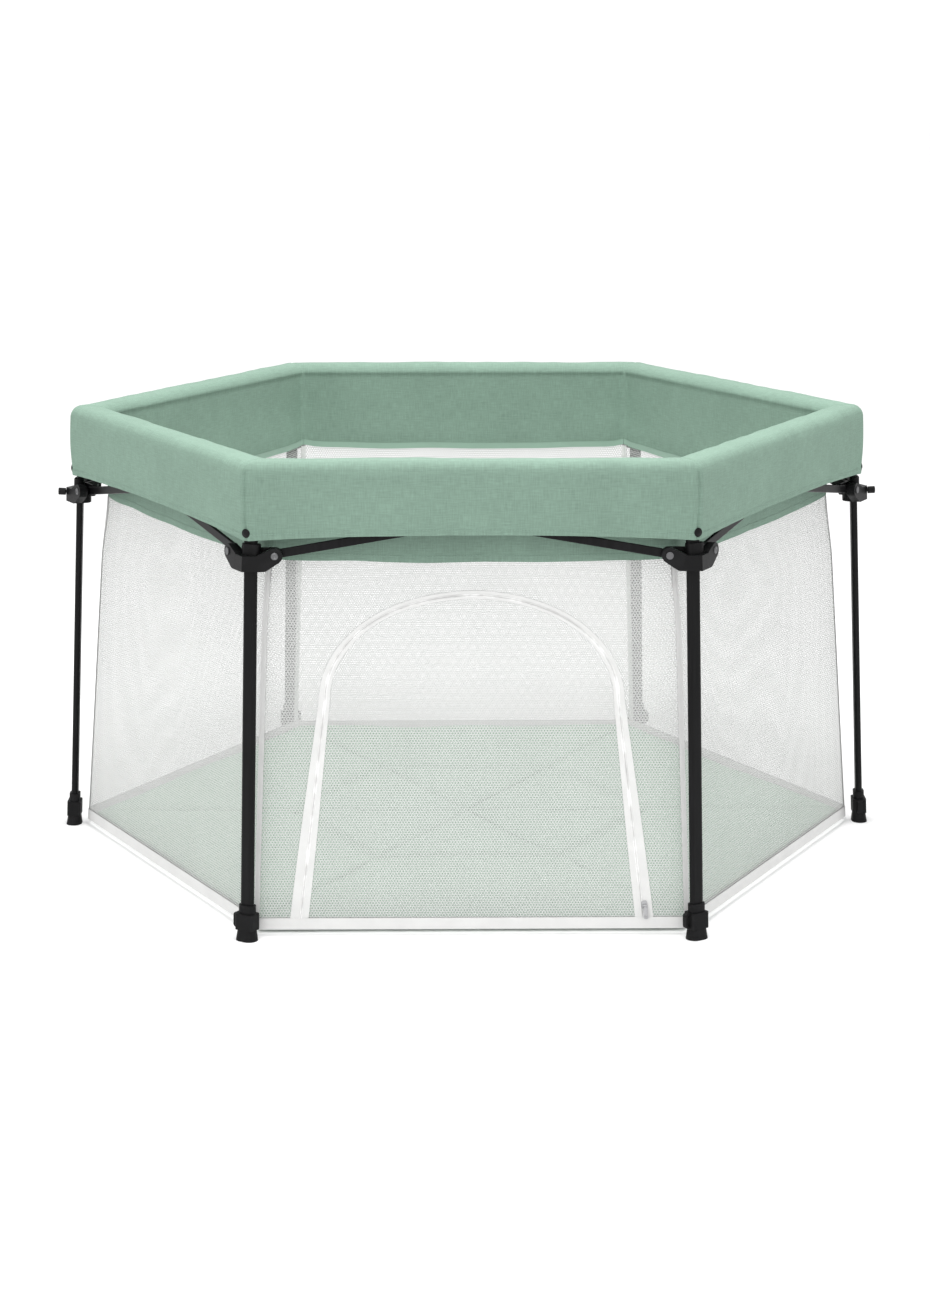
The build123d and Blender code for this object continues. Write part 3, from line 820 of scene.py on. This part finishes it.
def trim(piece):
    """Presses what lies past the mitres flat against them, and joins the points that meet there."""
    out, side_way = outward(0), along(0)
    mesh = bmesh.new()
    mesh.from_mesh(piece.data)
    for point in mesh.verts:
        apothem = max(point.co.dot(out), 0.0)
        limit = max(apothem * MITRE - SECTOR_GAP / 2, 0.0)
        x = min(max(point.co.dot(side_way), -limit), limit)
        point.co = on_side(0, x, apothem, point.co.z)
    bmesh.ops.remove_doubles(mesh, verts=mesh.verts, dist=0.0012)
    bmesh.ops.recalc_face_normals(mesh, faces=mesh.faces)
    mesh.to_mesh(piece.data)
    mesh.free()


def settle(piece):
    """Applies the piece's modifiers to its mesh."""
    bpy.context.view_layer.update()
    shaped = piece.evaluated_get(bpy.context.evaluated_depsgraph_get())
    mesh = bpy.data.meshes.new_from_object(shaped)
    piece.modifiers.clear()
    piece.data = mesh


def points_of(mesh):
    flat = np.zeros(len(mesh.vertices) * 3)
    mesh.vertices.foreach_get("co", flat)
    return flat.reshape(-1, 3)


def fill(piece, pressure, most, held):
    """Swells a closed piece by cloth simulation, with no point moving further than most. held gives the
    share of each point's pin, from 0 to 1."""
    rest = points_of(piece.data)
    group = piece.vertex_groups.new(name="held")
    for i, point in enumerate(rest):
        weight = held(point)
        if weight > 0:
            group.add([i], weight, "REPLACE")
    cloth = piece.modifiers.new("cloth", "CLOTH")
    cloth.settings.use_pressure = True
    cloth.settings.uniform_pressure_force = pressure
    cloth.settings.vertex_group_mass = "held"
    cloth.settings.quality = 4
    cloth.settings.effector_weights.gravity = 0
    cloth.collision_settings.use_collision = False
    scene = bpy.context.scene
    for step in range(1, FILL_FRAMES + 1):
        scene.frame_set(step)
    settle(piece)
    scene.frame_set(1)
    moved = points_of(piece.data) - rest
    length = np.linalg.norm(moved, axis=1, keepdims=True)
    capped = rest + moved * np.minimum(1.0, most / np.maximum(length, 1e-9))
    piece.data.vertices.foreach_set("co", capped.ravel())


def mat_held(point):
    apothem = Vector(point).dot(outward(0))
    return 0.9 * math.exp(-(((apothem - MAT_SEAM_OUT) / MAT_SEAM_HALF) ** 2))


def mat_shape(k, apothem, x, height):
    """Sewn line, slack and a crease along the mitres of the filled sector; gives the new height."""
    if height < (MAT_LOW + MAT_HIGH) / 2:
        return max(height, MAT_LOW)
    place = on_side(k, x, apothem, 0)
    seam = -0.0045 * math.exp(-(((apothem - MAT_SEAM_OUT) / 0.008) ** 2))
    slack = 0.0036 * ripple(place, 6.0, 1.0, 11.0) + 0.0014 * ripple(place, 17.0, 1.0, 2.0)
    fold = -0.0008 * math.exp(-(((abs(x) - apothem * MITRE) / 0.010) ** 2))
    return min(height + seam + slack + fold, MAT_HIGH + MAT_CROWN)


def build_mats():
    sector = mat_blank()
    fill(sector, MAT_PRESSURE, MAT_SWELL, mat_held)
    trim(sector)
    shape = points_of(sector.data)
    polygons = [tuple(p.vertices) for p in sector.data.polygons]
    bpy.data.objects.remove(sector)
    out, side_way = outward(0), along(0)
    for k, side in enumerate(SIDES):
        points, flats = [], []
        for place in shape:
            place = Vector(place)
            apothem, x = place.dot(out), place.dot(side_way)
            height = mat_shape(k, apothem, x, place.z)
            points.append(on_side(k, x, apothem, height))
            flats.append((x, apothem))
        uvs = [flats[i] for polygon in polygons for i in polygon]
        pad = finish_mesh(f"mat_{side}", points, polygons, uvs, None, mat_cloth)
        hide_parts(f"mat_panel_{side}")
        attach(pad, f"mat_{side}")
        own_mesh(pad)


build_mats()


# ---------------------------------------------------------------- stitches, studs and screws

STITCH_PITCH, STITCH_LONG, STITCH_THICK = 0.0042, 0.0030, 0.00032
HEM_STITCH_ROW, SKIRT_STITCH_ROW = 0.086, 4.93
STITCH_PROUD = 0.0001
STITCH_FROM_MITRE = 0.006


def tube_faces(first, around, rings):
    """The faces of a closed tube whose rings of points follow each other from the first point."""
    faces = []
    for ring in range(rings - 1):
        low, high = first + ring * around, first + (ring + 1) * around
        for a in range(around):
            b = (a + 1) % around
            faces.append([low + a, low + b, high + b, high + a])
    faces.append([first + a for a in reversed(range(around))])
    faces.append([first + (rings - 1) * around + a for a in range(around)])
    return faces


def stitch_run(name, k, span, row, proud):
    """Short rounded stitches along a row of the cover, from the start of the span of side k to its end."""
    around = 6
    points, faces = [], []
    shape = [(-0.5, 0.15), (-0.36, 0.9), (0.0, 1.1), (0.36, 0.9), (0.5, 0.15)]
    start, end = span
    count = round((end - start) / STITCH_PITCH)
    for i in range(count):
        x = start + (i + 0.5) * (end - start) / count
        middle = cover_surface(k, fixed(x), row, 0.0)[0] + outward(k) * proud
        way = (cover_surface(k, fixed(x), row, 0.001)[0] + outward(k) * proud - middle).normalized()
        up = Vector((0, 0, 1))
        first = len(points)
        for step, size in shape:
            for a in range(around):
                turn = math.tau * a / around
                reach = STITCH_THICK * size
                off = outward(k) * math.cos(turn) * reach + up * math.sin(turn) * reach
                points.append(middle + way * step * STITCH_LONG + off)
        faces += tube_faces(first, around, len(shape))
    uvs = [(points[i].x, points[i].z) for face in faces for i in face]
    return finish_mesh(name, points, faces, uvs, None, sage_thread)


def build_stitches():
    reach = COVER_OUT * MITRE - STITCH_FROM_MITRE
    skirt_proud = COVER_THICK + 2 * STITCH_PROUD
    for k, side in enumerate(SIDES):
        hem = stitch_run(f"hem_stitches_{side}", k, (-CUT, CUT), HEM_STITCH_ROW, STITCH_PROUD)
        skirt = stitch_run(f"skirt_stitches_{side}", k, (-CUT, CUT), SKIRT_STITCH_ROW, skirt_proud)
        for run in (hem, skirt):
            ride_side(run, k)
        right = stitch_run(f"hem_stitches_{side}_end", k, (CUT, reach), HEM_STITCH_ROW, STITCH_PROUD)
        left = stitch_run(f"hem_stitches_{side}_start", k, (-reach, -CUT), HEM_STITCH_ROW, STITCH_PROUD)
        ride_corner(right, (k + 1) % SIDE_COUNT)
        ride_corner(left, k)


def turned(name, outline, place, way, material):
    """A turned piece: (radius, height) points from its back to its top, set at place and facing way."""
    around = 32
    turn = way.to_track_quat("Z", "Y").to_matrix()
    points = []
    for radius, height in outline:
        for a in range(around):
            angle = math.tau * a / around
            off = Vector((radius * math.cos(angle), radius * math.sin(angle), height))
            points.append(place + turn @ off)
    faces = tube_faces(0, around, len(outline))
    uvs = [(points[i].x, points[i].z) for face in faces for i in face]
    return finish_mesh(name, points, faces, uvs, None, material)


STUD_HEIGHT, STUD_SUNK = 0.5665, 0.0012
STUD = [(0.0052, -0.0015), (0.0062, 0.0), (0.0062, 0.0006), (0.0056, 0.0011), (0.0050, 0.0010),
        (0.0044, 0.0012), (0.0034, 0.0019), (0.0018, 0.0023), (0.0004, 0.0024)]
SCREW = [(0.0050, 0.0), (0.0050, 0.0004), (0.0046, 0.0009), (0.0036, 0.0013), (0.0022, 0.0015),
         (0.0020, 0.0009), (0.0004, 0.0008)]

# Where the inner bar's end meets a slider, as an x and a height on the outer face of the slider's ear
SLIDER_X, SLIDER_HEIGHT, SLIDER_FACE_OUT = 0.26338, 0.53685, 0.53122


def build_studs():
    for j, leg in enumerate(LEGS):
        radius = (COVER_OUT - STUD_SUNK) / math.cos(STEP / 2)
        way = corner(j, 1.0, 0.0)
        stud = turned(f"snap_stud_{leg}", STUD, corner(j, radius, STUD_HEIGHT), way, hub_plastic)
        ride_corner(stud, j)
        place = on_side(j, -SLIDER_X, SLIDER_FACE_OUT, SLIDER_HEIGHT)
        screw = turned(f"pivot_screw_{leg}", SCREW, place, outward(j), rivet_metal)
        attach(screw, f"slider_{leg}")


build_stitches()
build_studs()


# ---------------------------------------------------------------- floor, light and camera

def build_studio():
    floor_mesh = bpy.data.meshes.new("floor")
    wide = 30.0  # half of the floor's side
    floor_mesh.from_pydata([(-wide, -wide, 0), (wide, -wide, 0), (wide, wide, 0), (-wide, wide, 0)],
                           [], [(0, 1, 2, 3)])
    floor = bpy.data.objects.new("floor", floor_mesh)
    collection.objects.link(floor)
    nodes = Nodes("floor_white")
    cloud = nodes.noise(nodes.place(), (0.6, 0.6, 0.6), 2.0)
    nodes.set(Base_Color=nodes.ramp(cloud, [(0.3, (0.93, 0.93, 0.93)), (0.7, (0.95, 0.95, 0.95))]),
              Roughness=0.9)
    floor_mesh.materials.append(nodes.material)
    world = bpy.data.worlds.new("studio")
    bpy.context.scene.world = world
    world.use_nodes = True
    sky = world.node_tree.nodes["Background"]
    sky.inputs["Color"].default_value = (1.0, 1.0, 1.0, 1)
    sky.inputs["Strength"].default_value = 1.09
    soft_light("key", (-0.9, -3.2, 2.3), 2.4, 35.0)
    soft_light("overhead", (0.0, -0.25, 2.5), 1.0, 50.0)


def soft_light(name, place, size, power):
    light = bpy.data.lights.new(name, "AREA")
    light.shape = "SQUARE"
    light.size = size
    light.energy = power
    lamp = bpy.data.objects.new(name, light)
    lamp.location = place
    aim = Vector((0, 0, 0.3)) - Vector(place)
    lamp.rotation_euler = aim.to_track_quat("-Z", "Y").to_euler()
    collection.objects.link(lamp)


def build_camera():
    """Eye height, distance and lens of a viewer in front of the door, turned a little."""
    away, aside, height = 3.895, -0.0037, 1.228
    pitch, turn = math.radians(13.73), math.radians(-0.65)
    camera = bpy.data.cameras.new("camera")
    camera.sensor_width = 36.0
    camera.lens = 71.2
    viewer = bpy.data.objects.new("camera", camera)
    viewer.location = Matrix.Rotation(turn, 3, "Z") @ Vector((aside, -away, height))
    viewer.rotation_euler = (math.pi / 2 - pitch, 0, turn)
    collection.objects.link(viewer)
    bpy.context.scene.camera = viewer
    bpy.context.scene.view_settings.view_transform = "Standard"


build_studio()
build_camera()
